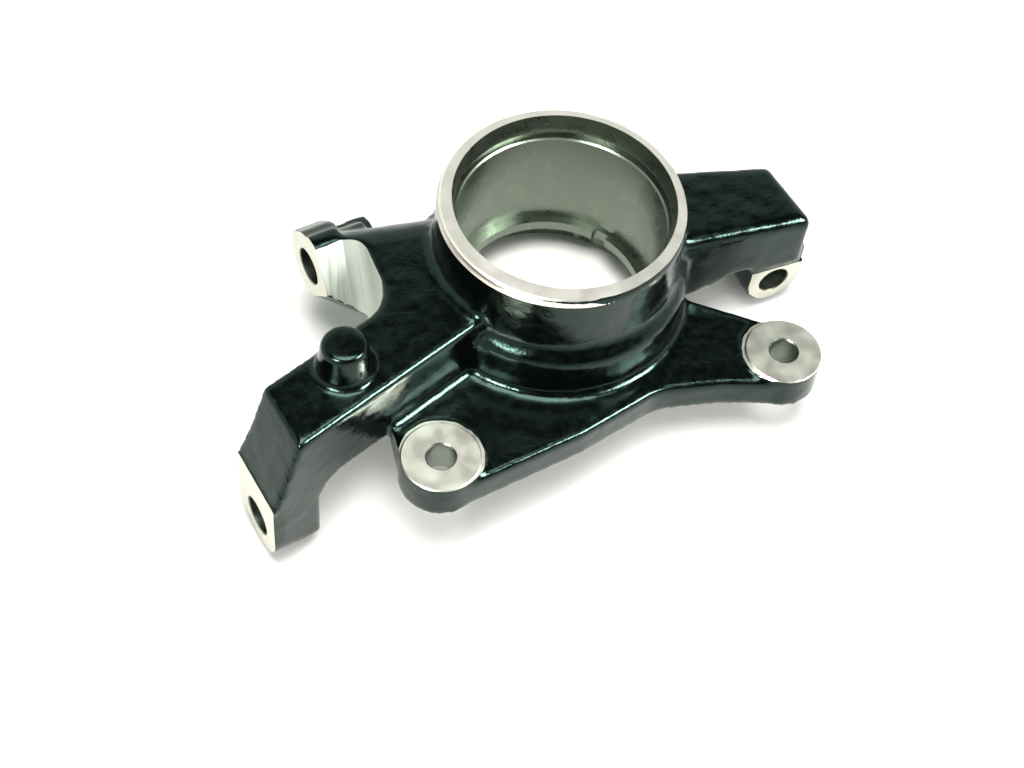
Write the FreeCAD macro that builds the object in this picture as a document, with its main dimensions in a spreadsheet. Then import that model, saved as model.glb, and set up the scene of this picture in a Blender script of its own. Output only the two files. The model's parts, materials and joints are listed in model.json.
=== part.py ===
"""Wheel bearing carrier: one casting with machined seats.

Origin: the centre of the bearing bore, on the hub axis. +Z runs up the hub axis,
+X from the left caliper boss to the right one. The sketches measure heights from
the machined ring face, and the body is placed so that the bore's centre is at the
origin. All lengths in millimetres, all angles in degrees.
"""
import FreeCAD, Part
import math
import os
import Sketcher

NODE = "bearing_carrier"

UP = FreeCAD.Vector(0, 0, 1)

SIZES = {
    # bearing seat, on the hub axis
    "boreRadius": 32.0,
    "boreLength": 37.0,
    "mouthRadius": 33.0,
    "mouthDepth": 6.2,
    "leadInRadius": 34.0,
    "leadInDepth": 4.2,
    "clipGrooveRadius": 34.2,
    "clipGrooveWidth": 2.3,
    "boreChamfer": 0.5,
    "lipRadius": 29.3,
    "lipThickness": 3.5,
    "notchAzimuth": 34.0,
    "notchWidth": 5.0,
    "notchDepth": 1.7,
    "rearRecessRadius": 34.3,
    "rearRecessDepth": 9.0,
    # hub casting, on an axis beside the machined one
    "castingX": -1.0,
    "castingY": -0.8,
    "collarRadius": 38.0,
    "collarChamfer": 1.0,
    "stepDepth": 24.7,
    "drumTopRadius": 41.8,
    "drumRearRadius": 42.5,
    "coveWidth": 1.9,
    "coveHeight": 2.9,
    "stepChamferWidth": 1.4,
    "stepChamferHeight": 2.2,
    "rearChamfer": 1.5,
    # left arm
    "armTurn": 20.4,
    "armTop": -19.0,
    "armThickness": 26.5,
    "armFront": 8.0,
    "armBack": 14.9,
    "armEdgeRound": 1.5,
    "armHubFillet": 4.0,
    # lower lug at the end of the left arm
    "strutTurn": 7.7,
    "lowerReach": 114.1,
    "lowerLugDepth": 16.6,
    "lowerLugRadius": 12.1,
    "lowerHoleWall": 12.8,
    "lowerHoleHeight": -64.0,
    "lowerHoleRadius": 6.3,
    "endSlopeRun": 10.3,
    "endSlopeDrop": 26.0,
    "lowerLugFillet": 10.0,
    "lowerLugFoot": 2.0,
    # upper ear and the web that carries it
    "upperReach": 68.1,
    "upperLugDepth": 10.6,
    "earNeckDepth": 18.0,
    "upperHoleSide": 35.5,
    "upperHoleHeight": -33.5,
    "upperHoleRadius": 6.0,
    "upperHoleDepth": 22.0,
    "upperBarrelRadius": 10.4,
    "upperBarrelDepth": 25.0,
    "earNearWall": 13.0,
    "earLean": 28.0,
    "earFarWall": 10.9,
    "earCrown": 2.0,
    "earFall": 5.8,
    "earLowerRound": 10.4,
    "earFarRound": 4.0,
    "earUnderTurn": 44.0,
    "earUnderTilt": 28.9,
    "earUnderRun": 12.0,
    "webSide": 57.0,
    "webNeckY": 24.0,
    "webFarOuterX": 62.5,
    "webFarOuter": 31.6,
    "webFarInner": 27.0,
    "webFarInnerX": 33.0,
    "webFarRound": 6.0,
    "webArmFillet": 13.5,
    "webEarFillet": 6.0,
    # stop boss on the left arm
    "stopX": -78.0,
    "stopY": -23.4,
    "stopHeight": 12.0,
    "stopTopRadius": 6.8,
    "stopBaseRadius": 8.3,
    "stopRound": 1.5,
    "stopFoot": 1.2,
    # front plate and its two caliper bosses
    "caliperSpan": 114.8,
    "caliperOffset": 49.6,
    "caliperHoleRadius": 4.45,
    "bossTop": -39.2,
    "bossRadius": 12.1,
    "bossDraft": 2.2,
    "plateTop": -40.2,
    "plateThickness": 11.8,
    "plateWaistX": 15.0,
    "plateWaistY": 49.4,
    "plateWaistRound": 22.0,
    "plateLeftAngle": 76.0,
    "plateLeftX": 14.0,
    "plateLeftY": 56.2,
    "plateRightX": 35.0,
    "plateRightY": 53.9,
    "plateRightAngle": 119.0,
    "plateCornerRound": 40.0,
    "plateBackX": 38.6,
    "plateBackY": 20.3,
    "plateBackGap": 10.0,
    "plateBackAngle": 47.0,
    "plateArmX": 66.0,
    "plateEdgeRound": 1.5,
    "plateHubChamfer": 2.0,
    "plateArmFillet": 4.0,
    # right arm
    "blockTop": -18.8,
    "blockDepth": 27.2,
    "blockFront": 11.6,
    "blockFrontTurn": 5.5,
    "blockBack": 26.5,
    "blockBackTurn": 14.6,
    "blockEndFront": 79.9,
    "blockEndBack": 76.8,
    "blockTopRound": 3.0,
    "blockCornerRound": 2.0,
    "blockRiseX": 44.0,
    "blockArchX": 57.5,
    "blockArchHeight": -39.4,
    "blockArchRound": 9.0,
    # lug under the right arm
    "sideHoleX": 72.6,
    "sideHoleHeight": -48.5,
    "sideHoleRadius": 5.1,
    "sideLugRadius": 9.9,
    "sideLugFront": 17.8,
    "sideLugDepth": 21.0,
}


class Term:
    """A length or an angle with its number and the sheet formula that drives it."""

    def __init__(self, number, formula):
        self.number = number
        self.formula = formula

    def __float__(self):
        return self.number

    def __add__(self, other):
        other = term(other)
        return Term(self.number + other.number, f"({self.formula} + {other.formula})")

    def __radd__(self, other):
        return term(other) + self

    def __neg__(self):
        return Term(-self.number, f"(0 - {self.formula})")

    def __sub__(self, other):
        other = term(other)
        return Term(self.number - other.number, f"({self.formula} - {other.formula})")

    def __rsub__(self, other):
        return term(other) - self

    def __mul__(self, other):
        other = term(other)
        return Term(self.number * other.number, f"({self.formula} * {other.formula})")

    __rmul__ = __mul__

    def __truediv__(self, other):
        other = term(other)
        return Term(self.number / other.number, f"({self.formula} / {other.formula})")


def term(value):
    """Makes a plain number into a term."""
    if isinstance(value, Term):
        return value
    return Term(float(value), repr(float(value)))


def sine(angle):
    return Term(math.sin(math.radians(angle.number)), f"sin({angle.formula})")


def cosine(angle):
    return Term(math.cos(math.radians(angle.number)), f"cos({angle.formula})")


def tangent(angle):
    return Term(math.tan(math.radians(angle.number)), f"tan({angle.formula})")


def size(name):
    """The named size as a term bound to its cell."""
    return Term(SIZES[name], "Sizes." + name)


def fill_sheet(doc):
    """Writes each driving size to a cell with its name as the alias."""
    sheet = doc.addObject("Spreadsheet::Sheet", "Sizes")
    for row, (name, value) in enumerate(SIZES.items(), start=1):
        sheet.set(f"A{row}", name)
        sheet.set(f"B{row}", str(value))
        sheet.setAlias(f"B{row}", name)


def new_sketch(body, name, role, turn=None, axis=(0, 0, 1), shift=(None, None, None)):
    """A sketch on an origin plane, turned about a local axis and shifted by terms."""
    sketch = body.newObject("Sketcher::SketchObject", name)
    plane = next(item for item in body.Origin.OriginFeatures if item.Role == role)
    sketch.AttachmentSupport = [(plane, "")]
    sketch.MapMode = "FlatFace"
    if turn is not None:
        rotation = FreeCAD.Rotation(FreeCAD.Vector(*axis), turn.number)
        sketch.AttachmentOffset = FreeCAD.Placement(FreeCAD.Vector(), rotation)
        sketch.setExpression("AttachmentOffset.Rotation.Angle", turn.formula)
    for direction, length in zip("xyz", shift):
        if length is not None:
            sketch.setExpression(f"AttachmentOffset.Base.{direction}", length.formula)
    return sketch


def level_sketch(body, name, height, turn=None):
    """A level sketch at a height, turned about the hub axis."""
    return new_sketch(body, name, "XY_Plane", turn, shift=(None, None, height))


def upright_sketch(body, name, role, turn, reach):
    """An upright sketch turned about the hub axis and moved along its own normal."""
    shift = (reach * sine(turn), None, reach * cosine(turn))
    return new_sketch(body, name, role, turn, (0, 1, 0), shift)


def pin(sketch, geometry, position, x, y):
    """Holds a point of the sketch at x, y from its origin."""
    for kind, length in (("DistanceX", term(x)), ("DistanceY", term(y))):
        held = Sketcher.Constraint(kind, -1, 1, geometry, position, length.number)
        index = sketch.addConstraint(held)
        sketch.setExpression(f"Constraints[{index}]", length.formula)


def set_radius(sketch, geometry, radius):
    index = sketch.addConstraint(Sketcher.Constraint("Radius", geometry, radius.number))
    sketch.setExpression(f"Constraints[{index}]", radius.formula)


def circle(sketch, x, y, radius):
    """A circle with its centre at x, y."""
    centre = FreeCAD.Vector(float(x), float(y), 0)
    geometry = sketch.addGeometry(Part.Circle(centre, UP, radius.number))
    pin(sketch, geometry, 3, x, y)
    set_radius(sketch, geometry, radius)


def corner_arc(before, corner, after, radius):
    """The arc that rounds a corner, with its tangent points and its turning sense."""
    back = (before - corner).normalize()
    ahead = (after - corner).normalize()
    half = back.getAngle(ahead) / 2
    first = corner + back * (radius / math.tan(half))
    second = corner + ahead * (radius / math.tan(half))
    centre = corner + (back + ahead).normalize() * (radius / math.sin(half))
    leftward = (corner - before).cross(after - corner).z > 0
    start, end = (first, second) if leftward else (second, first)
    begin = math.atan2(start.y - centre.y, start.x - centre.x)
    finish = math.atan2(end.y - centre.y, end.x - centre.x)
    if finish < begin:
        finish += 2 * math.pi
    arc = Part.ArcOfCircle(Part.Circle(centre, UP, radius), begin, finish)
    return arc, first, second, leftward


def outline(sketch, corners, rounds=None):
    """A closed outline through its corners; a corner listed in rounds gets an arc."""
    rounds = rounds or {}
    places = [FreeCAD.Vector(float(x), float(y), 0) for x, y in corners]
    count = len(places)
    arcs = {}
    for index, radius in rounds.items():
        before, after = places[index - 1], places[(index + 1) % count]
        arcs[index] = corner_arc(before, places[index], after, radius.number)
    lines = []
    for index in range(count):
        following = (index + 1) % count
        start = arcs[index][2] if index in arcs else places[index]
        end = arcs[following][1] if following in arcs else places[following]
        lines.append(sketch.addGeometry(Part.LineSegment(start, end)))
    for index, (x, y) in enumerate(corners):
        before, after = lines[index - 1], lines[index]
        if index not in arcs:
            sketch.addConstraint(Sketcher.Constraint("Coincident", before, 2, after, 1))
            pin(sketch, after, 1, x, y)
            continue
        arc, _, _, leftward = arcs[index]
        rounded = sketch.addGeometry(arc)
        first, second = (1, 2) if leftward else (2, 1)
        sketch.addConstraint(Sketcher.Constraint("Tangent", before, 2, rounded, first))
        sketch.addConstraint(Sketcher.Constraint("Tangent", after, 1, rounded, second))
        set_radius(sketch, rounded, rounds[index])
        corner = sketch.addGeometry(Part.Point(places[index]), True)
        pin(sketch, corner, 1, x, y)
        sketch.addConstraint(Sketcher.Constraint("PointOnObject", corner, 1, before))
        sketch.addConstraint(Sketcher.Constraint("PointOnObject", corner, 1, after))


def d_outline(sketch, x, y, radius, top):
    """A lug's outline: a half circle about x, y below, straight sides up to the top."""
    left, right = x - radius, x + radius
    bottom = Part.Circle(FreeCAD.Vector(float(x), float(y), 0), UP, radius.number)
    arc = sketch.addGeometry(Part.ArcOfCircle(bottom, math.pi, 2 * math.pi))
    corner = [FreeCAD.Vector(float(px), float(py), 0)
              for px, py in ((left, y), (left, top), (right, top), (right, y))]
    near = sketch.addGeometry(Part.LineSegment(corner[1], corner[0]))
    far = sketch.addGeometry(Part.LineSegment(corner[3], corner[2]))
    lid = sketch.addGeometry(Part.LineSegment(corner[2], corner[1]))
    sketch.addConstraint(Sketcher.Constraint("Tangent", near, 2, arc, 1))
    sketch.addConstraint(Sketcher.Constraint("Tangent", far, 1, arc, 2))
    sketch.addConstraint(Sketcher.Constraint("Coincident", far, 2, lid, 1))
    sketch.addConstraint(Sketcher.Constraint("Coincident", lid, 2, near, 1))
    pin(sketch, arc, 3, x, y)
    set_radius(sketch, arc, radius)
    pin(sketch, near, 1, left, top)
    pin(sketch, far, 2, right, top)


def pad(body, name, sketch, length, downward=False, taper=None, both_ways=False):
    """Adds the sketch's outline along its normal, or against it, or to each side."""
    feature = body.newObject("PartDesign::Pad", name)
    feature.Profile = sketch
    feature.Reversed = downward
    feature.SideType = "Symmetric" if both_ways else "One side"
    feature.Length = length.number
    feature.setExpression("Length", length.formula)
    if taper is not None:
        feature.setExpression("TaperAngle", taper.formula)
    return feature


def pocket(body, name, sketch, length, upward=False, both_ways=False):
    """Cuts the sketch's outline against its normal, or along it, or both ways."""
    body.Document.recompute()
    before = body.Shape.Volume
    feature = body.newObject("PartDesign::Pocket", name)
    feature.Profile = sketch
    feature.Reversed = upward
    feature.SideType = "Symmetric" if both_ways else "One side"
    feature.Length = length.number
    feature.setExpression("Length", length.formula)
    body.Document.recompute()
    if not body.Shape.Volume < before:
        raise RuntimeError(f"{name} cuts nothing")
    return feature


def turned(body, kind, name, sketch, axis="V_Axis"):
    """A full turn of the sketch about one of its axes, added or cut."""
    body.Document.recompute()
    before = body.Shape.Volume if kind == "Groove" else 0
    feature = body.newObject("PartDesign::" + kind, name)
    feature.Profile = sketch
    feature.ReferenceAxis = (sketch, [axis])
    feature.Angle = 360
    body.Document.recompute()
    if kind == "Groove" and not body.Shape.Volume < before:
        raise RuntimeError(f"{name} cuts nothing")
    return feature


def nearest_edges(shape, points):
    """Names of the edges that pass closest to the points."""
    names = []
    for point in points:
        vertex = Part.Vertex(FreeCAD.Vector(*point))
        gaps = [edge.distToShape(vertex)[0] for edge in shape.Edges]
        name = f"Edge{gaps.index(min(gaps)) + 1}"
        if name not in names:
            names.append(name)
    return names


def dress(body, kind, name, points, measure, amount):
    """Rounds or chamfers the edges nearest to the points."""
    body.Document.recompute()
    base = body.Tip
    feature = body.newObject("PartDesign::" + kind, name)
    feature.Base = (base, nearest_edges(base.Shape, points))
    feature.setExpression(measure, amount.formula)
    body.Document.recompute()
    if "Invalid" in feature.State or not feature.Shape.isValid():
        raise RuntimeError(f"{name} failed")
    return feature


def fillet(body, name, points, radius):
    dress(body, "Fillet", name, points, "Radius", radius)


def chamfer_edges(body, name, points, width):
    dress(body, "Chamfer", name, points, "Size", width)


def casting_sketch(body, name):
    """An upright sketch through the casting's own axis."""
    shift = (size("castingX"), None, -size("castingY"))
    return new_sketch(body, name, "XZ_Plane", shift=shift)


def hub_depth():
    """Length of the hub from the ring face to its rear rim."""
    seat = size("mouthDepth") + size("clipGrooveWidth") + size("boreLength")
    return seat + size("lipThickness") + size("rearRecessDepth")


def add_collar(body):
    """The upper hub, carried down to the rear rim."""
    sketch = casting_sketch(body, "CollarProfile")
    radius, chamfer = size("collarRadius"), size("collarChamfer")
    outline(sketch, ((0, -hub_depth()), (radius, -hub_depth()), (radius, -chamfer),
                     (radius - chamfer, 0), (0, 0)))
    turned(body, "Revolution", "Collar", sketch)


def add_left_arm(body):
    """The straight bar, from the hub axis past the lower lug's end face."""
    sketch = level_sketch(body, "ArmPlan", size("armTop"), size("armTurn"))
    front, back = -size("armFront"), size("armBack")
    reach = -(size("lowerReach") + size("lowerLugRadius"))
    outline(sketch, ((reach, front), (0, front), (0, back), (reach, back)))
    pad(body, "LeftArm", sketch, size("armThickness"), downward=True)
    turn = math.radians(float(size("armTurn")))
    along, side = float(size("upperReach")), float(size("armFront"))
    edge = (side * math.sin(turn) - along * math.cos(turn),
            -side * math.cos(turn) - along * math.sin(turn), float(size("armTop")))
    fillet(body, "ArmEdgeRound", [edge], size("armEdgeRound"))


def block_corners():
    """The right arm's front and rear end corners in plan."""
    front_x, back_x = size("blockEndFront"), size("blockEndBack")
    front_y = -(size("blockFront") + front_x * tangent(size("blockFrontTurn")))
    back_y = size("blockBack") - back_x * tangent(size("blockBackTurn"))
    return (front_x, front_y), (back_x, back_y)


def add_right_arm(body):
    """The tapered right arm with its rising underside."""
    sketch = level_sketch(body, "BlockPlan", size("blockTop"))
    front_end, back_end = block_corners()
    rounds = {1: size("blockCornerRound"), 2: size("blockCornerRound")}
    outline(sketch, ((0, -size("blockFront")), front_end, back_end, (0, size("blockBack"))), rounds)
    pad(body, "RightArm", sketch, size("blockDepth"), downward=True)
    under = upright_sketch(body, "BlockUnderside", "XZ_Plane", term(0), term(0))
    low = size("blockTop") - size("blockDepth") - 1
    past = size("blockEndFront") + size("sideLugRadius")
    rise_x, arch_x = size("blockRiseX"), size("blockArchX")
    outline(under, ((rise_x - 1, low), (past, low), (past, size("blockArchHeight")),
                    (arch_x, size("blockArchHeight")), (rise_x, low + 1)),
            {3: size("blockArchRound")})
    pocket(body, "BlockRise", under, size("blockBack") * 4, both_ways=True)
    top = size("blockTop")
    ends = [middle((0, -size("blockFront")), front_end, top), middle(front_end, back_end, top),
            middle(back_end, (0, size("blockBack")), top)]
    fillet(body, "BlockTopRound", ends, size("blockTopRound"))


def wall_point(turn, side, height, facing):
    """A point where an arm wall, at a side of the turned axis, meets the collar."""
    angle = math.radians(turn)
    reach = math.sqrt(float(size("collarRadius")) ** 2 - side ** 2) * facing
    x = reach * math.cos(angle) - side * math.sin(angle)
    y = reach * math.sin(angle) + side * math.cos(angle)
    return x + float(size("castingX")), y + float(size("castingY")), height


def add_arm_fillets(body):
    """Soft corners where the arms and the web grow out of the collar."""
    arm_turn, arm_top = float(size("armTurn")), float(size("armTop"))
    arm_middle = arm_top - float(size("armThickness")) / 2
    block_top = float(size("blockTop"))
    block_middle = block_top - float(size("blockDepth")) / 2
    front = float(size("armFront"))
    edges = [wall_point(arm_turn, -front, arm_middle, -1),
             wall_point(-float(size("blockFrontTurn")), -float(size("blockFront")), block_middle, 1),
             wall_point(-float(size("blockBackTurn")), float(size("blockBack")), block_middle, 1),
             wall_point(arm_turn, 0, arm_top, -1),
             wall_point(0, 0, block_top, 1)]
    fillet(body, "ArmHubFillet", edges, size("armHubFillet"))


def add_drum(body):
    """The wider lower hub with its cove and step, down to the rear rim."""
    sketch = casting_sketch(body, "DrumProfile")
    step = -size("stepDepth")
    rear, chamfer = -hub_depth(), size("rearChamfer")
    collar, drum = size("collarRadius"), size("drumTopRadius")
    outline(sketch, ((0, rear), (size("drumRearRadius") - chamfer, rear),
                     (size("drumRearRadius"), rear + chamfer),
                     (drum, step - size("stepChamferHeight")),
                     (drum - size("stepChamferWidth"), step), (collar + size("coveWidth"), step),
                     (collar, step + size("coveHeight")), (0, step + size("coveHeight"))))
    turned(body, "Revolution", "Drum", sketch)


def add_web(body):
    """The web between the bar's rear wall and the upper ear."""
    sketch = level_sketch(body, "WebPlan", size("armTop"))
    arm = size("armTurn")
    side = -size("webSide")
    toe = side - size("webArmFillet") * 1.5
    wall = size("armBack") / cosine(arm)
    slope = tangent(arm)
    outline(sketch, ((toe, toe * slope + wall), (side, side * slope + wall),
                     (side, size("webNeckY")), (-size("webFarOuterX"), size("webFarOuter")),
                     (-size("webFarInnerX"), size("webFarInner")),
                     (0, size("webFarInner") / 2), (0, 0), (toe, toe * slope)),
            {1: size("webArmFillet")})
    pad(body, "Web", sketch, size("armThickness"), downward=True)
    middle = (-(size("webSide").number + size("webFarInnerX").number) / 2,
              (size("webFarOuter").number + size("webFarInner").number) / 2,
              size("armTop").number)
    fillet(body, "WebFarRound", [middle], size("webFarRound"))


def add_ear(body):
    """The upper ear: its neck, its head and a barrel behind it for the bolt."""
    turn, reach = size("strutTurn"), size("upperReach")
    hole, height = size("upperHoleSide"), size("upperHoleHeight")
    top = size("armTop")
    low = top - size("armThickness")
    lean = tangent(size("earLean"))
    near, far = hole - size("earNearWall"), hole + size("earFarWall")
    near_top, near_low = near + (top - height) * lean, near - (height - low) * lean
    neck = upright_sketch(body, "EarNeckSection", "YZ_Plane", turn, -reach)
    outline(neck, ((near_low, low), (hole, low), (hole, top), (near_top, top)))
    pad(body, "EarNeck", neck, size("earNeckDepth"))
    head = upright_sketch(body, "EarSection", "YZ_Plane", turn, -reach)
    outline(head, ((near_low, low), (far, low), (far, top - size("earFall")),
                   (hole - size("earCrown"), top), (near_top, top)),
            {1: size("earLowerRound"), 2: size("earFarRound")})
    pad(body, "Ear", head, size("upperLugDepth"))
    barrel = upright_sketch(body, "EarBarrelSection", "YZ_Plane", turn, -reach)
    circle(barrel, hole, height, size("upperBarrelRadius"))
    pad(body, "EarBarrel", barrel, size("upperBarrelDepth"))
    corner = float(near) - float(height - low) / 2 * float(lean)
    side = -float(size("webSide"))
    strut = math.radians(float(turn))
    bend = (side, (corner + side * math.sin(strut)) / math.cos(strut), float(height + low) / 2)
    fillet(body, "WebEarFillet", [bend], size("webEarFillet"))


def cut_ear_underside(body):
    """The slope under the ear's near side, down from its end face into the web."""
    turn, strut, reach = size("earUnderTurn"), size("strutTurn"), size("upperReach")
    near, height = size("upperHoleSide") - size("earNearWall"), size("upperHoleHeight")
    corner_x = -(reach * cosine(strut) + near * sine(strut))
    corner_y = near * cosine(strut) - reach * sine(strut)
    sketch = upright_sketch(body, "EarUnderProfile", "XZ_Plane", turn,
                            corner_x * sine(turn) - corner_y * cosine(turn))
    place = corner_x * cosine(turn) + corner_y * sine(turn)
    run, slope = size("earUnderRun"), tangent(size("earUnderTilt"))
    low = size("armTop") - size("armThickness") - 1
    outline(sketch, ((place + (height - low) * slope, low), (place - run / 4 * slope, height + run / 4),
                     (place - run, height + run / 4), (place - run, low)))
    pocket(body, "EarUnderside", sketch, run * 2, both_ways=True)


def lower_hole_side():
    """Side of the lower hole, its wall in from the bar's front at the end face."""
    turn = size("armTurn") - size("strutTurn")
    front = (size("armFront") + size("lowerReach") * sine(turn)) / cosine(turn)
    return -(front - size("lowerHoleWall"))


def add_lower_lug(body):
    """The lug that hangs from the bar's end, and the end's slope."""
    reach = size("lowerReach")
    turn = size("strutTurn")
    sketch = upright_sketch(body, "LowerLugSection", "YZ_Plane", turn, -reach)
    d_outline(sketch, lower_hole_side(), size("lowerHoleHeight"), size("lowerLugRadius"),
              size("armTop") - size("armThickness") / 2)
    pad(body, "LowerLug", sketch, size("lowerLugDepth"))
    low = size("armTop") - size("armThickness")
    inner, bend = -(reach - size("lowerLugDepth")), size("lowerLugFillet")
    foot = bend + size("lowerLugFoot")
    gusset = upright_sketch(body, "LegGussetProfile", "XZ_Plane", turn, -lower_hole_side())
    outline(gusset, ((inner - 1, low - foot), (inner, low - foot), (inner, low), (inner + foot, low),
                     (inner + foot, low + 1), (inner - 1, low + 1)), {2: bend})
    pad(body, "LegGusset", gusset, size("lowerLugRadius") * 2, both_ways=True)
    front = level_sketch(body, "LugFrontTrim", size("armTop") - size("armEdgeRound") * 2,
                         size("armTurn"))
    wall = -size("armFront")
    outline(front, ((-reach * 2, wall - reach), (-reach / 2, wall - reach), (-reach / 2, wall),
                    (-reach * 2, wall)))
    pocket(body, "LugFront", front, reach)
    end = upright_sketch(body, "ArmEndProfile", "XZ_Plane", turn, term(0))
    top = size("armTop")
    slope = size("endSlopeRun") / size("endSlopeDrop")
    outline(end, ((-reach, top - size("endSlopeDrop")),
                  (-reach, top - reach), (-reach * 1.5, top - reach), (-reach * 1.5, top + 1),
                  (-reach + (size("endSlopeDrop") + 1) * slope, top + 1)))
    pocket(body, "ArmEnd", end, reach, both_ways=True)


def add_stop_boss(body):
    """The round stop on the bar's top."""
    shift = (size("stopX"), None, -size("stopY"))
    sketch = new_sketch(body, "StopProfile", "XZ_Plane", shift=shift)
    base, foot = size("armTop"), size("stopFoot")
    top = base + size("stopHeight")
    outline(sketch, ((0, base - foot), (size("stopBaseRadius") + foot, base - foot),
                     (size("stopBaseRadius") + foot, base), (size("stopBaseRadius"), base + foot),
                     (size("stopTopRadius"), top), (0, top)), {4: size("stopRound")})
    turned(body, "Revolution", "StopBoss", sketch)


def round_boss(place, angle, radius):
    """The point at an angle and a distance round a caliper boss, in plan."""
    return place + radius * cosine(angle), -size("caliperOffset") + radius * sine(angle)


def middle(first, second, height):
    """The point halfway between two places of a plan, at a height."""
    return (float(first[0]) + float(second[0])) / 2, (float(first[1]) + float(second[1])) / 2, float(height)


def add_plate(body):
    """The front plate with its fillets, and the two caliper bosses."""
    sketch = level_sketch(body, "PlatePlan", size("plateTop"))
    half, radius = size("caliperSpan") / 2, size("bossRadius")
    arm_x = -size("plateArmX")
    arm_y = arm_x * tangent(size("armTurn")) - size("armFront") / 2
    corners = ((-half - radius, -size("caliperOffset")),
               round_boss(-half, -size("plateLeftAngle"), radius),
               (-size("plateLeftX"), -size("plateLeftY")),
               (size("plateWaistX"), -size("plateWaistY")),
               (size("plateRightX"), -size("plateRightY")),
               round_boss(half, -size("plateRightAngle"), radius),
               (half, -size("caliperOffset")),
               round_boss(half, size("plateBackAngle"), size("plateBackGap")),
               (size("plateBackX"), -size("plateBackY")),
               (0, 0), (arm_x, arm_y))
    outline(sketch, corners, {2: size("plateCornerRound"), 3: size("plateWaistRound"),
                              4: size("plateCornerRound")})
    pad(body, "Plate", sketch, size("plateThickness"), downward=True)
    rims = [middle(corners[first], corners[first + 1], size("plateTop")) for first in (1, 7)]
    fillet(body, "PlateEdgeRound", rims, size("plateEdgeRound"))
    arm_turn = math.radians(float(size("armTurn")))
    along = (float(size("plateArmX")) + float(size("drumTopRadius"))) / 2
    wall = (-along, -along * math.tan(arm_turn) - float(size("armFront")) / math.cos(arm_turn),
            float(size("plateTop")))
    fillet(body, "PlateArmFillet", [wall], size("plateArmFillet"))
    drum = (float(size("castingX")), float(size("castingY")) - float(size("drumTopRadius")),
            float(size("plateTop")))
    chamfer_edges(body, "PlateHubChamfer", [drum], size("plateHubChamfer"))
    for side, place in (("Left", -half), ("Right", half)):
        section = level_sketch(body, side + "BossSection", size("bossTop"))
        circle(section, place, -size("caliperOffset"), radius)
        depth = size("bossTop") - size("plateTop") + size("plateThickness")
        pad(body, side + "Boss", section, depth, downward=True, taper=size("bossDraft"))


def add_side_lug(body):
    """The lug under the right arm's end."""
    sketch = new_sketch(body, "SideLugSection", "XZ_Plane",
                        shift=(None, None, size("sideLugFront")))
    d_outline(sketch, size("sideHoleX"), size("sideHoleHeight"), size("sideLugRadius"),
              size("blockArchHeight") + size("blockTopRound") * 2)
    pad(body, "SideLug", sketch, size("sideLugDepth"), downward=True)


def cut_bearing_seat(body):
    """Lead-in, clip groove, bore, shoulder lip and rear recess."""
    sketch = new_sketch(body, "SeatProfile", "XZ_Plane")
    mouth = -size("mouthDepth")
    seat_top = mouth - size("clipGrooveWidth")
    seat_end = seat_top - size("boreLength")
    lip_end = seat_end - size("lipThickness")
    rear = lip_end - size("rearRecessDepth") - 1
    bore, chamfer = size("boreRadius"), size("boreChamfer")
    outline(sketch, ((0, 1), (size("leadInRadius"), 1), (size("leadInRadius"), 0),
                     (size("mouthRadius"), -size("leadInDepth")), (size("mouthRadius"), mouth),
                     (size("clipGrooveRadius"), mouth), (size("clipGrooveRadius"), seat_top),
                     (bore + chamfer, seat_top), (bore, seat_top - chamfer),
                     (bore, seat_end), (size("lipRadius"), seat_end),
                     (size("lipRadius"), lip_end), (size("rearRecessRadius"), lip_end),
                     (size("rearRecessRadius"), rear), (0, rear)))
    turned(body, "Groove", "BearingSeat", sketch)
    notch = level_sketch(body, "NotchPlan", seat_end, size("notchAzimuth"))
    half = size("notchWidth") / 2
    inside, outside = size("lipRadius") - half, size("lipRadius") + size("notchDepth")
    outline(notch, ((inside, -half), (outside, -half), (outside, half), (inside, half)))
    pocket(body, "Notch", notch, size("lipThickness"))


def cut_holes(body):
    """The caliper holes, the two strut holes and the side hole."""
    half = size("caliperSpan") / 2
    plan = level_sketch(body, "CaliperHoles", size("bossTop"))
    for place in (-half, half):
        circle(plan, place, -size("caliperOffset"), size("caliperHoleRadius"))
    pocket(body, "CaliperBores", plan, size("plateThickness") * 2)
    turn = size("strutTurn")
    lower = upright_sketch(body, "LowerHole", "YZ_Plane", turn, -size("lowerReach"))
    circle(lower, lower_hole_side(), size("lowerHoleHeight"), size("lowerHoleRadius"))
    pocket(body, "LowerBore", lower, size("lowerLugDepth") + 1, upward=True)
    upper = upright_sketch(body, "UpperHole", "YZ_Plane", turn, -size("upperReach"))
    circle(upper, size("upperHoleSide"), size("upperHoleHeight"), size("upperHoleRadius"))
    pocket(body, "UpperBore", upper, size("upperHoleDepth"), upward=True)
    side = new_sketch(body, "SideHole", "XZ_Plane", shift=(None, None, size("sideLugFront")))
    circle(side, size("sideHoleX"), size("sideHoleHeight"), size("sideHoleRadius"))
    pocket(body, "SideBore", side, size("sideLugDepth") + 1)


def check(doc, body):
    """Stops before anything is written if a feature has failed."""
    for item in doc.Objects:
        if "Invalid" in item.State or "Error" in item.State:
            raise RuntimeError(f"{item.Label} failed")
    if body.Shape.isNull() or not body.Shape.isValid():
        raise RuntimeError("the body has no valid shape")
    if len(body.Shape.Solids) != 1:
        raise RuntimeError(f"{len(body.Shape.Solids)} solids instead of one")


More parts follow.
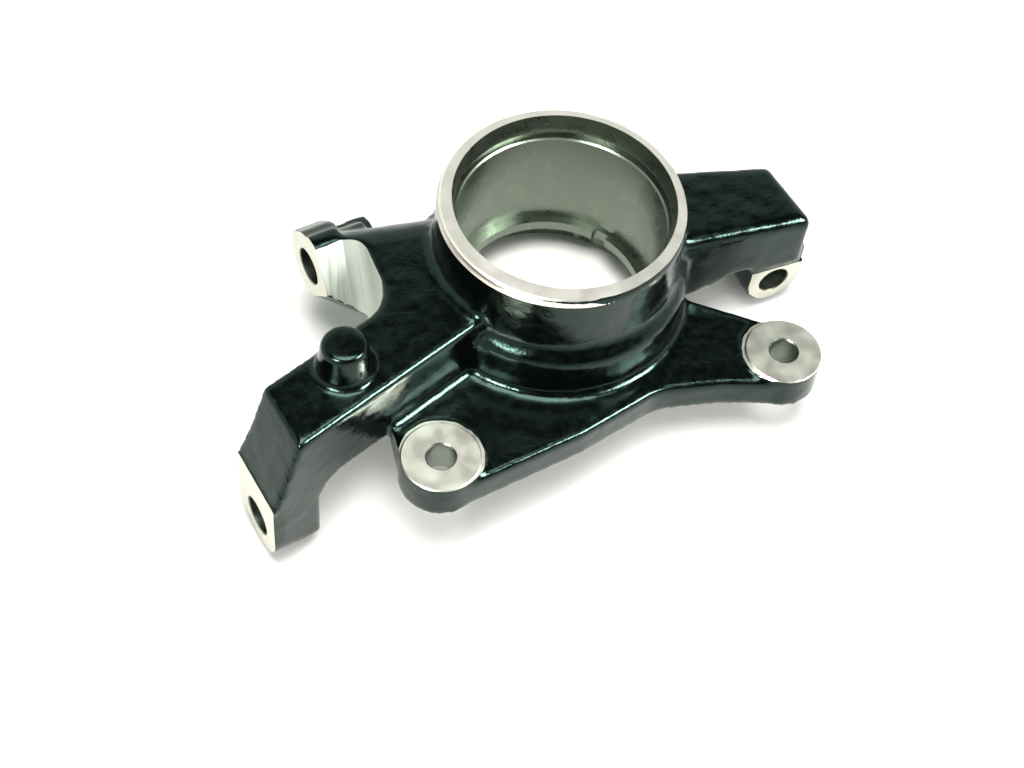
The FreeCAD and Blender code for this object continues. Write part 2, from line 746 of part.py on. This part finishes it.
def main():
    doc = FreeCAD.newDocument("BearingCarrier")
    fill_sheet(doc)
    body = doc.addObject("PartDesign::Body", NODE)
    body.Label = NODE
    bore_centre = size("mouthDepth") + size("clipGrooveWidth") + size("boreLength") / 2
    body.setExpression("Placement.Base.z", bore_centre.formula)
    doc.recompute()
    for step in (add_collar, add_left_arm, add_web, add_right_arm, add_arm_fillets, add_drum,
                 add_ear, add_lower_lug, add_stop_boss, add_plate, add_side_lug,
                 cut_ear_underside, cut_bearing_seat, cut_holes):
        step(body)
        doc.recompute()
        print(step.__name__, body.Tip.Label, round(body.Shape.Volume), len(body.Shape.Solids),
              body.Shape.isValid())
    check(doc, body)
    os.makedirs("parts", exist_ok=True)
    body.Shape.exportStep(f"parts/{NODE}.step")
    print(NODE, round(body.Shape.Volume), "mm3")


main()
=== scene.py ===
import json
import math

import bmesh
import bpy
from mathutils import Matrix, Vector


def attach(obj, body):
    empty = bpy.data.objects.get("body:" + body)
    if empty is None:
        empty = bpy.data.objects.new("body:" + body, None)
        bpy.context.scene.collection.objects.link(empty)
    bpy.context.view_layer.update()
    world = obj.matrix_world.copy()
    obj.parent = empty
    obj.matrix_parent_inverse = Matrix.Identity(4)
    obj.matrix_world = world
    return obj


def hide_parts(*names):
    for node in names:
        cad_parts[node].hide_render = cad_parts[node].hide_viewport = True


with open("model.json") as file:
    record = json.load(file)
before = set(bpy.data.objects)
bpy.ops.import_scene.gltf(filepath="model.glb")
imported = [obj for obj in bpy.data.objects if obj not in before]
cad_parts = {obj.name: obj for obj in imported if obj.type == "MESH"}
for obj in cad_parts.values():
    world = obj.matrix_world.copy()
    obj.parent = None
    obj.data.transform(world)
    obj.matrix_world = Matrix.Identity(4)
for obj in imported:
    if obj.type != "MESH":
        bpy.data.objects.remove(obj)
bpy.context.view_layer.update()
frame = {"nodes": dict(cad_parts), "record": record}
mounts = {mount["name"]: mount for mount in frame["record"]["mounts"]}
mm = 0.001
up = Vector((0, 0, 1))
strut = Vector(mounts["lower_lug_bore"]["axis"])  # the way both strut lugs face


def selectOnly(piece):
    if bpy.context.object and bpy.context.object.mode != "OBJECT":
        bpy.ops.object.mode_set(mode="OBJECT")
    bpy.ops.object.select_all(action="DESELECT")
    piece.select_set(True)
    bpy.context.view_layer.objects.active = piece


def applyPlace(piece):
    selectOnly(piece)
    bpy.ops.object.transform_apply(location=True, rotation=True, scale=True)


def applyModifier(piece, kind, **settings):
    selectOnly(piece)
    modifier = piece.modifiers.new(kind.title(), kind)
    for name, value in settings.items():
        setattr(modifier, name, value)
    bpy.ops.object.modifier_apply(modifier=modifier.name)


def newMaterial(name, colour, metallic, roughness):
    material = bpy.data.materials.new(name)
    material.use_nodes = True
    shader = material.node_tree.nodes["Principled BSDF"]
    shader.inputs["Base Color"].default_value = colour
    shader.inputs["Metallic"].default_value = metallic
    shader.inputs["Roughness"].default_value = roughness
    return material, material.node_tree, shader


def addNode(tree, kind, **values):
    node = tree.nodes.new("ShaderNode" + kind)
    for name, value in values.items():
        if name in node.inputs:
            node.inputs[name].default_value = value
        else:
            setattr(node, name, value)
    return node


def objectPoints(tree):
    return addNode(tree, "TexCoord").outputs["Object"]


def addNoise(tree, grain, detail, place=None):
    noise = addNode(tree, "TexNoise", Scale=1.0 / (grain * mm), Detail=detail)
    tree.links.new(place or objectPoints(tree), noise.inputs["Vector"])
    return noise.outputs["Fac"]


def addBump(tree, shader, heights):
    normal = None
    for height, look in heights:
        bump = addNode(tree, "Bump", Strength=look["strength"], Distance=look["depth"] * mm)
        tree.links.new(height, bump.inputs["Height"])
        if normal is not None:
            tree.links.new(normal, bump.inputs["Normal"])
        normal = bump.outputs["Normal"]
    tree.links.new(normal, shader.inputs["Normal"])


noiseReach = (0.35, 0.65)  # a noise mostly stays between these


def addRamp(tree, value, low, high, reach=noiseReach):
    spread = addNode(tree, "MapRange")
    spread.inputs["From Min"].default_value = reach[0]
    spread.inputs["From Max"].default_value = reach[1]
    spread.inputs["To Min"].default_value = low
    spread.inputs["To Max"].default_value = high
    tree.links.new(value, spread.inputs["Value"])
    return spread.outputs["Result"]


# camera, placed by matching the photo's hub ellipses and boss faces
camera = {
    "place": (-175.5, -299.6, 422.0),
    "forward": (0.2785, 0.5029, -0.8182),
    "right": (0.9200, -0.3842, 0.0771),
    "focalPixels": 1750.0,
    "imageWidth": 1024.0,
    "sensorWidth": 36.0,
}


def makeCamera(sizes):
    data = bpy.data.cameras.new("photoCamera")
    data.sensor_width = sizes["sensorWidth"]
    data.lens = sizes["focalPixels"] / sizes["imageWidth"] * sizes["sensorWidth"]
    cam = bpy.data.objects.new("photoCamera", data)
    bpy.context.scene.collection.objects.link(cam)
    back = -Vector(sizes["forward"]).normalized()
    right = Vector(sizes["right"]).normalized()
    turn = Matrix((right, back.cross(right), back)).transposed().to_4x4()
    cam.matrix_world = Matrix.Translation(Vector(sizes["place"]) * mm) @ turn
    bpy.context.scene.camera = cam
    print("camera placed")


# floor, in the plane that the leg, the side lug and the hub's rear rim touch
floor = {
    "slopeX": 0.0754,
    "slopeY": 0.1406,
    "drop": -37.36,
    "width": 1500.0,
    "colour": (0.93, 0.915, 0.87, 1.0),
    "roughness": 0.7,
}


def makeFloor(sizes):
    normal = Vector((-sizes["slopeX"], -sizes["slopeY"], 1.0)).normalized()
    bpy.ops.mesh.primitive_plane_add(size=sizes["width"] * mm, location=up * sizes["drop"] * mm)
    plane = bpy.context.object
    plane.name = "floor"
    plane.rotation_mode = "QUATERNION"
    plane.rotation_quaternion = normal.to_track_quat("Z", "Y")
    paper, _, _ = newMaterial("palePaper", sizes["colour"], 0.0, sizes["roughness"])
    plane.data.materials.append(paper)
    print("floor laid")


# studio light, aimed at the bore: places and sizes in millimetres; a gloss lamp shows
# only in reflections, and a matt one only in soft light
lamps = {
    "softboxAbove": {"place": (-60, -70, 900), "size": 560, "watts": 13.0},
    "windowRight": {"place": (495, -440, 575), "size": 330, "watts": 26.0,
                    "lights": "gloss"},
    "windowLeft": {"place": (-621, -407, 508), "size": 240, "watts": 14.0,
                   "lights": "gloss"},
    "fillFront": {"place": (250, -900, 420), "size": 800, "watts": 8.0,
                  "lights": "matt"},
}


def makeLamps(sizes):
    for name, lamp in sizes.items():
        data = bpy.data.lights.new(name, "AREA")
        data.size = lamp["size"] * mm
        data.energy = lamp["watts"]
        light = bpy.data.objects.new(name, data)
        bpy.context.scene.collection.objects.link(light)
        light.location = Vector(lamp["place"]) * mm
        light.rotation_mode = "QUATERNION"
        light.rotation_quaternion = (-light.location).to_track_quat("-Z", "Y")
        light.visible_diffuse = lamp.get("lights") != "gloss"
        light.visible_glossy = lamp.get("lights") != "matt"
    print("lamps set")


# the wall behind the table is bright, and the room darkens overhead and in front;
# a direction's height is its rise less its run towards that wall
room = {
    "colour": (0.92, 1.0, 0.95, 1.0),
    "towardsWall": (0.0, -0.45, 1.0),
    "wallTop": 0.42,
    "ceiling": 0.56,
    "wallStrength": 1.25,
    "ceilingStrength": 0.015,
}


def makeRoom(sizes):
    world = bpy.data.worlds.new("studio")
    world.use_nodes = True
    tree = world.node_tree
    background = tree.nodes["Background"]
    background.inputs["Color"].default_value = sizes["colour"]
    height = addNode(tree, "VectorMath", operation="DOT_PRODUCT")
    height.inputs[1].default_value = sizes["towardsWall"]
    tree.links.new(addNode(tree, "TexCoord").outputs["Generated"], height.inputs[0])
    strength = addRamp(tree, height.outputs["Value"], sizes["wallStrength"],
                       sizes["ceilingStrength"], (sizes["wallTop"], sizes["ceiling"]))
    tree.links.new(strength, background.inputs["Strength"])
    bpy.context.scene.world = world
    bpy.context.scene.view_settings.view_transform = "Standard"
    print("room lit")


# glossy black enamel over a sand-cast skin
enamel = {
    "colour": (0.0012, 0.002, 0.0016, 1.0),
    "tint": (0.58, 1.0, 0.86, 1.0),
    "specular": 0.3,
    "roughness": (0.12, 0.24),
    "sand": {"grain": 0.9, "detail": 2.0, "depth": 0.08, "strength": 0.5},
    "peel": {"grain": 3.2, "detail": 4.0, "depth": 0.12, "strength": 0.38},
}


def makeEnamel(look):
    low, high = look["roughness"]
    material, tree, shader = newMaterial("blackEnamel", look["colour"], 0.0, low)
    shader.inputs["Specular Tint"].default_value = look["tint"]
    shader.inputs["Specular IOR Level"].default_value = look["specular"]
    sand, peel = [addNoise(tree, look[name]["grain"], look[name]["detail"])
                  for name in ("sand", "peel")]
    tree.links.new(addRamp(tree, peel, low, high), shader.inputs["Roughness"])
    addBump(tree, shader, [(sand, look["sand"]), (peel, look["peel"])])
    return material


# bare machined iron: the tool's marks run in rings round the axis, or in bands along it
machined = {
    "turned": {"colour": (0.74, 0.70, 0.63, 1.0), "roughness": (0.30, 0.36), "pitch": 0.35},
    # the bored finish's colour is darkened well below bare iron: painted shade for the inside of
    # the bore, the lip's notch and the drilled holes
    "boreShaded": {"colour": (0.16, 0.185, 0.15, 1.0), "roughness": (0.26, 0.34), "pitch": 0.30},
    "milled": {"colour": (0.53, 0.525, 0.45, 1.0), "roughness": (0.30, 0.38), "pitch": 0.6},
    "faced": {"colour": (0.40, 0.43, 0.375, 1.0), "roughness": (0.55, 0.65), "pitch": 0.9,
              "metallic": 0.6},
}
toolMarks = {"detail": 4.0, "depth": 0.03, "strength": 0.5}
ironClouds = {"grain": 6.0, "detail": 3.0}  # where the iron is a little duller


def makeMachined(name, look, centre, axis, rings):
    low, high = look["roughness"]
    material, tree, shader = newMaterial(name, look["colour"], look.get("metallic", 1.0), low)
    turn = Vector(axis).to_track_quat("Z", "Y").inverted().to_matrix().to_4x4()
    offset = turn @ (-Vector(centre))
    mapping = addNode(tree, "Mapping", Location=offset, Rotation=turn.to_euler())
    tree.links.new(objectPoints(tree), mapping.inputs["Vector"])
    place = mapping.outputs["Vector"]
    split = addNode(tree, "SeparateXYZ")
    tree.links.new(place, split.inputs["Vector"])
    if rings:
        flat = addNode(tree, "CombineXYZ")
        tree.links.new(split.outputs["X"], flat.inputs["X"])
        tree.links.new(split.outputs["Y"], flat.inputs["Y"])
        length = addNode(tree, "VectorMath", operation="LENGTH")
        tree.links.new(flat.outputs["Vector"], length.inputs[0])
        run = length.outputs["Value"]
    else:
        run = split.outputs["Z"]
    line = addNode(tree, "CombineXYZ")
    tree.links.new(run, line.inputs["X"])
    marks = addNoise(tree, look["pitch"], toolMarks["detail"], line.outputs["Vector"])
    clouds = addNoise(tree, ironClouds["grain"], ironClouds["detail"])
    tree.links.new(addRamp(tree, clouds, low, high), shader.inputs["Roughness"])
    addBump(tree, shader, [(marks, toolMarks)])
    return material


# a tool turned to a profile of radii and heights
def turnedTool(name, profile, centre, axis, material, sides=128):
    bpy.ops.object.select_all(action="DESELECT")
    radius, height = profile[0]
    bpy.ops.mesh.primitive_circle_add(vertices=sides, radius=radius * mm, fill_type="NGON",
                                      location=(0, 0, height * mm))
    tool = bpy.context.object
    tool.name = name
    applyPlace(tool)
    bpy.ops.object.mode_set(mode="EDIT")
    bpy.ops.mesh.select_all(action="SELECT")
    for nextRadius, nextHeight in profile[1:]:
        rise = (nextHeight - height) * mm
        bpy.ops.mesh.extrude_region_move(TRANSFORM_OT_translate={"value": (0, 0, rise)})
        scale = nextRadius / radius
        bpy.ops.transform.resize(value=(scale, scale, 1.0), center_override=(0, 0, 0))
        radius, height = nextRadius, nextHeight
    bpy.ops.mesh.select_all(action="SELECT")
    bpy.ops.mesh.normals_make_consistent(inside=False)
    bpy.ops.object.mode_set(mode="OBJECT")
    tool.rotation_mode = "QUATERNION"
    tool.rotation_quaternion = Vector(axis).to_track_quat("Z", "Y")
    tool.location = centre
    applyPlace(tool)
    tool.data.materials.append(material)
    return tool


def boxTool(name, lengths, centre, axes, material):
    bpy.ops.object.select_all(action="DESELECT")
    bpy.ops.mesh.primitive_cube_add(size=1.0)
    tool = bpy.context.object
    tool.name = name
    tool.matrix_world = (Matrix.Translation(centre) @ Matrix(axes).transposed().to_4x4()
                         @ Matrix.Diagonal((*[length * mm for length in lengths], 1.0)))
    applyPlace(tool)
    tool.data.materials.append(material)
    return tool


def cutWith(piece, tool):
    applyModifier(piece, "BOOLEAN", operation="DIFFERENCE", object=tool, solver="MANIFOLD",
                  material_mode="TRANSFER")
    bpy.data.objects.remove(tool)


# the web's far edge is one broad round, up to the hub
backRound = {
    "outer": (-61.5, 31.4),
    "inner": (-33.0, 27.0),
    "radius": 13.0,
    "top": 8.0,
    "reach": (60.0, 30.0),
    "below": 4.0,  # how far the tool reaches below the round
    "overrun": 5.0,  # and its bar past both ends
    "sides": 96,
    "hub": ((42.0, -30.0), (42.0, 2.3), (38.6, 4.6), (38.6, 30.0)),
    "hubCentre": (-1.0, -0.8, 0.0),
}


def backTool(sizes, material):
    outer, inner = [Vector((*sizes[name], 0)) for name in ("outer", "inner")]
    along = (inner - outer).normalized()
    outward = up.cross(along)
    length, width = sizes["reach"]
    radius = sizes["radius"]
    foot = outer - outward * radius + up * (sizes["top"] - radius)
    depth = radius + sizes["below"]
    middle = foot + along * length / 2 + outward * width / 2 + up * depth / 2
    tool = boxTool("backTool", (length, width, depth), middle * mm, (along, outward, up), material)
    overrun = sizes["overrun"]
    cutWith(tool, turnedTool("backBar", ((radius, -overrun), (radius, length + overrun)),
                             foot * mm, along, material, sizes["sides"]))
    cutWith(tool, turnedTool("hubKept", sizes["hub"], Vector(sizes["hubCentre"]) * mm, up,
                             material, sizes["sides"]))
    return tool


# the ear's crown falls away behind its hole; the point is along, across and up from the hub
crown = {"point": (65.0, 40.2, 5.1), "fall": 42.5, "size": (20.0, 12.0, 30.0)}


def crownTool(sizes, material):
    across = up.cross(-strut)
    if across.y < 0:
        across = -across
    reach, side, height = sizes["point"]
    fall = math.radians(sizes["fall"])
    normal = across * math.sin(fall) + up * math.cos(fall)
    point = strut * reach + across * side + up * height
    return boxTool("crownTool", sizes["size"], (point + normal * sizes["size"][1] / 2) * mm,
                   (strut, normal, strut.cross(normal)), material)


# the raw casting, before its seats are machined
castSkin = {
    "voxel": 0.9,
    "smoothing": 0.5,
    "smoothRounds": 7,
    "lumpGrain": 5.0,
    "lumpDepth": 0.22,
    "stock": 1.5,  # left on each face that is machined later
    "mergeWithin": 0.001,
    "faceWithin": 0.03,
    "faceAlong": 0.999,
}


# raises each face that is to be machined, so that the cut leaves it flat
def planeStock(piece, point, normal, sizes):
    selectOnly(piece)
    bpy.ops.object.mode_set(mode="EDIT")
    bpy.ops.mesh.select_mode(type="FACE")
    bpy.ops.mesh.select_all(action="DESELECT")
    bpy.ops.object.mode_set(mode="OBJECT")
    distance = point.dot(normal)
    for face in piece.data.polygons:
        onPlane = abs(face.center.dot(normal) - distance) < sizes["faceWithin"] * mm
        face.select = onPlane and face.normal.dot(normal) > sizes["faceAlong"]
    bpy.ops.object.mode_set(mode="EDIT")
    rise = normal * (sizes["stock"] * mm)
    bpy.ops.mesh.extrude_region_move(TRANSFORM_OT_translate={"value": rise})
    bpy.ops.object.mode_set(mode="OBJECT")


def makeCasting(sizes, enamelMaterial, faces, plugs):
    source = frame["nodes"]["bearing_carrier"]
    piece = bpy.data.objects.new("carrierCasting", source.data.copy())
    bpy.context.scene.collection.objects.link(piece)
    selectOnly(piece)
    bpy.ops.object.mode_set(mode="EDIT")
    bpy.ops.mesh.select_all(action="SELECT")
    bpy.ops.mesh.remove_doubles(threshold=sizes["mergeWithin"] * mm)
    bpy.ops.object.mode_set(mode="OBJECT")
    for point, normal in faces:
        planeStock(piece, point, normal, sizes)
    cutWith(piece, backTool(backRound, enamelMaterial))
    cutWith(piece, crownTool(crown, enamelMaterial))
    selectOnly(piece)
    for plug in plugs:
        plug.select_set(True)
    bpy.ops.object.join()
    piece.data.materials.clear()
    piece.data.materials.append(enamelMaterial)
    for face in piece.data.polygons:
        face.material_index = 0
    applyModifier(piece, "REMESH", mode="VOXEL", voxel_size=sizes["voxel"] * mm)
    applyModifier(piece, "SMOOTH", factor=sizes["smoothing"], iterations=sizes["smoothRounds"])
    lumps = bpy.data.textures.new("castLumps", "CLOUDS")
    lumps.noise_scale = sizes["lumpGrain"] * mm
    applyModifier(piece, "DISPLACE", texture=lumps, strength=sizes["lumpDepth"] * mm,
                  mid_level=0.5, texture_coords="LOCAL")
    print("casting skinned:", len(piece.data.polygons), "faces")
    return piece


def cutBack(tool, point, normal):
    selectOnly(tool)
    bpy.ops.object.mode_set(mode="EDIT")
    bpy.ops.mesh.select_all(action="SELECT")
    bpy.ops.mesh.bisect(plane_co=point, plane_no=normal, use_fill=True, clear_outer=True)
    bpy.ops.object.mode_set(mode="OBJECT")


faceAlong = 0.99  # how near a face's normal is to the one asked for, as a cosine


def bevelEdge(tool, firstNormal, secondNormal, offset, segments):
    selectOnly(tool)
    bpy.ops.object.mode_set(mode="EDIT")
    mesh = bmesh.from_edit_mesh(tool.data)
    for edge in mesh.edges:
        normals = [face.normal for face in edge.link_faces]
        edge.select = any(a.dot(firstNormal) > faceAlong and b.dot(secondNormal) > faceAlong
                          for a, b in (normals, normals[::-1]))
    bmesh.update_edit_mesh(tool.data)
    bpy.ops.mesh.bevel(offset=offset * mm, segments=segments, affect="EDGES")
    bpy.ops.object.mode_set(mode="OBJECT")


# the lugs' holes and end faces; the side lug is faced up to the painted wall above it
lugs = {
    "lower": {"mount": "lower_lug_bore", "half": 8.3, "facing": 26.0, "hole": 6.3, "depth": 20.0},
    "upper": {"mount": "upper_ear_bore", "half": 11.0, "facing": 20.0, "hole": 6.0, "depth": 22.0},
    "side": {"mount": "side_lug_bore", "half": 10.2, "facing": 16.0, "hole": 5.1, "depth": 24.0,
             "outward": (0, -1, 0), "faceTop": -14.8},
}
lugTool = {
    "plugWall": 1.5,  # a plug is wider than its hole, and ends inside the lug
    "plugSink": 0.5,
    "plugShort": 1.0,
    "plugSides": 32,
    "facingDepth": 8.0,
    "drillRim": (0.5, -0.3, 0.2),  # the rim's width, foot and top
    "drillSides": 64,
}


def lugMouth(lug):
    mount = mounts[lug["mount"]]
    outward = Vector(lug.get("outward", mount["axis"]))
    return Vector(mount["pos_m"]) + outward * lug["half"] * mm, outward


def lugPlug(lug, sizes, material):
    mouth, outward = lugMouth(lug)
    radius = lug["hole"] + sizes["plugWall"]
    profile = ((radius, -lug["half"] * 2 + sizes["plugShort"]), (radius, -sizes["plugSink"]))
    return turnedTool("holePlug", profile, mouth, outward, material, sizes["plugSides"])


def lugTools(name, lug, sizes):
    mouth, outward = lugMouth(lug)
    milled = makeMachined(name + "MilledIron", machined["milled"], mouth, outward, True)
    # the drilled holes take the darkened bored colour, a painted shade inside them
    shadedDrilled = makeMachined(name + "ShadedDrillIron", machined["boreShaded"], mouth, outward, False)
    facing = turnedTool("facing", ((lug["facing"], 0.0), (lug["facing"], sizes["facingDepth"])),
                        mouth, outward, milled)
    if "faceTop" in lug:
        cutBack(facing, up * lug["faceTop"] * mm, up)
    hole = lug["hole"]
    rim, rimFoot, rimTop = sizes["drillRim"]
    profile = ((hole, -lug["depth"]), (hole, rimFoot), (hole + rim, rimTop))
    drill = turnedTool("drill", profile, mouth, outward, shadedDrilled, sizes["drillSides"])
    return [facing, drill]


# trims the cast skin on the side lug's outer side, above its face
shoulder = {"size": (8.0, 30.0, 16.0), "middle": (84.6, -8.0, -7.4)}


def shoulderTool(sizes, material):
    return boxTool("shoulderTool", sizes["size"], Vector(sizes["middle"]) * mm,
                   (Vector((1, 0, 0)), Vector((0, 1, 0)), up), material)


# the ring face and the bore: radii and heights about the hub axis
seat = {
    "profile": ((34.3, -33.0), (34.3, -22.0), (29.3, -22.0), (29.3, -18.5), (32.0, -18.5),
                (32.0, 18.0), (32.5, 18.5), (34.2, 18.5), (34.2, 20.8), (33.0, 20.8),
                (33.0, 22.8), (34.0, 27.0), (34.4, 29.0)),
    "facing": ((37.2, 27.0), (37.8, 26.4), (37.85, 24.4), (39.8, 24.4), (39.8, 34.0)),
    "facingCentre": (-0.5, -0.9, 0.0),
    "plug": ((36.0, -28.5), (36.0, 26.0)),
    "sides": 160,
    "notchAzimuth": 34.0,  # the notch in the lip
    "notchSize": (7.0, 5.0, 3.6),
    "notchRadius": 27.5,
    "notchHeight": -20.25,
}


def seatTools(sizes, turnedIron, shadedBoreIron):
    facing = turnedTool("ringFacing", sizes["facing"], Vector(sizes["facingCentre"]) * mm, up,
                        turnedIron, sizes["sides"])
    bore = turnedTool("boreTool", sizes["profile"], Vector(), up, shadedBoreIron, sizes["sides"])
    azimuth = math.radians(sizes["notchAzimuth"])
    outward = Vector((math.cos(azimuth), math.sin(azimuth), 0))
    notch = boxTool("notchTool", sizes["notchSize"],
                    outward * sizes["notchRadius"] * mm + up * sizes["notchHeight"] * mm,
                    (outward, up.cross(outward), up), shadedBoreIron)
    return [facing, bore, notch]


# the caliper bosses: heights from their faces
bosses = {
    "facing": ((11.7, 0.0), (12.3, -0.6), (13.2, -0.6), (13.2, 6.0)),
    "facingSides": 96,
    "drill": ((4.45, -16.0), (4.45, -0.4), (5.1, 0.3)),
    "drillSides": 64,
    "plug": ((6.5, -11.0), (6.5, -0.4)),
    "plugSides": 32,
}


def bossPlaces():
    bolts = mounts["caliper_bolts"]
    half = bolts["dims"]["spacing_x_mm"] / 2 * mm
    return [Vector(bolts["pos_m"]) + Vector((side * half, 0, 0)) for side in (-1, 1)]


def bossTools(sizes, place):
    milled = makeMachined("bossMilledIron", machined["milled"], place, up, True)
    # the boss holes take the darkened bored colour, a painted shade inside them
    shadedDrilled = makeMachined("bossShadedDrillIron", machined["boreShaded"], place, up, False)
    return [turnedTool("bossFacing", sizes["facing"], place, up, milled, sizes["facingSides"]),
            turnedTool("bossDrill", sizes["drill"], place, up, shadedDrilled, sizes["drillSides"])]


# the pocket between the ear and the bar: the ear's near side and the web's end are milled
pocket = {
    "webSide": -56.7,
    "earReach": 68.1,
    "earSide": 22.8,
    "earHeight": -6.5,
    "earLean": 28.0,  # degrees that the ear's near side leans back
    "barBack": 16.0,
    "barFacing": -69.6,  # azimuth that the bar's front faces, in degrees
    "size": (20.0, 90.0, 44.0),
    "middle": (-10.0, 10.0, -9.0),
    "earRound": 6.76,
    "barRound": 9.4,
    "segments": 10,
}


def pocketTool(sizes, material):
    front = Vector((-strut.y, strut.x, 0))
    if front.y > 0:
        front = -front
    lean = math.radians(sizes["earLean"])
    earNormal = front * math.cos(lean) + up * math.sin(lean)
    earPoint = strut * sizes["earReach"] - front * sizes["earSide"] + up * sizes["earHeight"]
    azimuth = math.radians(sizes["barFacing"])
    barNormal = Vector((math.cos(azimuth), math.sin(azimuth), 0))
    web = Vector((1, 0, 0))
    middle = Vector((sizes["webSide"] + sizes["middle"][0], *sizes["middle"][1:]))
    tool = boxTool("pocketTool", sizes["size"], middle * mm, (web, up.cross(web), up), material)
    cutBack(tool, earPoint * mm, -earNormal)
    cutBack(tool, -barNormal * sizes["barBack"] * mm, barNormal)
    bevelEdge(tool, web, -earNormal, sizes["earRound"], sizes["segments"])
    bevelEdge(tool, web, barNormal, sizes["barRound"], sizes["segments"])
    return tool


smoothAngle = 35.0


# the casting gets its plugs and stock, then every seat is cut into it
def makeCarrier():
    turnedIron = makeMachined("turnedIron", machined["turned"], (0, 0, 0), up, True)
    # the bore and notch take the darkened bored colour, a painted shade inside the bore
    shadedBoreIron = makeMachined("shadedBoreIron", machined["boreShaded"], (0, 0, 0), up, False)
    blackEnamel = makeEnamel(enamel)
    faces = [(up * mounts["ring_face"]["pos_m"][2], up),
             (Vector(mounts["caliper_bolts"]["pos_m"]), up)]
    faces += [lugMouth(lug) for lug in lugs.values() if "faceTop" not in lug]
    plugs = [turnedTool("borePlug", seat["plug"], Vector(), up, blackEnamel)]
    plugs += [turnedTool("boltPlug", bosses["plug"], place, up, blackEnamel, bosses["plugSides"])
              for place in bossPlaces()]
    plugs += [lugPlug(lug, lugTool, blackEnamel) for lug in lugs.values()]
    tools = []
    for name, lug in lugs.items():
        tools += lugTools(name, lug, lugTool)
    casting = makeCasting(castSkin, blackEnamel, faces, plugs)
    tools += seatTools(seat, turnedIron, shadedBoreIron)
    tools.append(shoulderTool(shoulder, blackEnamel))
    for place in bossPlaces():
        tools += bossTools(bosses, place)
    pocketIron = makeMachined("pocketFacedIron", machined["faced"], (0, 0, 0), up, True)
    tools.append(pocketTool(pocket, pocketIron))
    for tool in tools:
        cutWith(casting, tool)
    selectOnly(casting)
    bpy.ops.object.shade_smooth_by_angle(angle=math.radians(smoothAngle))
    print("carrier machined:", len(casting.data.polygons), "faces",
          len(casting.data.materials), "finishes")
    return casting


makeCamera(camera)
makeFloor(floor)
makeLamps(lamps)
makeRoom(room)
carrier = makeCarrier()
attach(carrier, "root")
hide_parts("bearing_carrier")
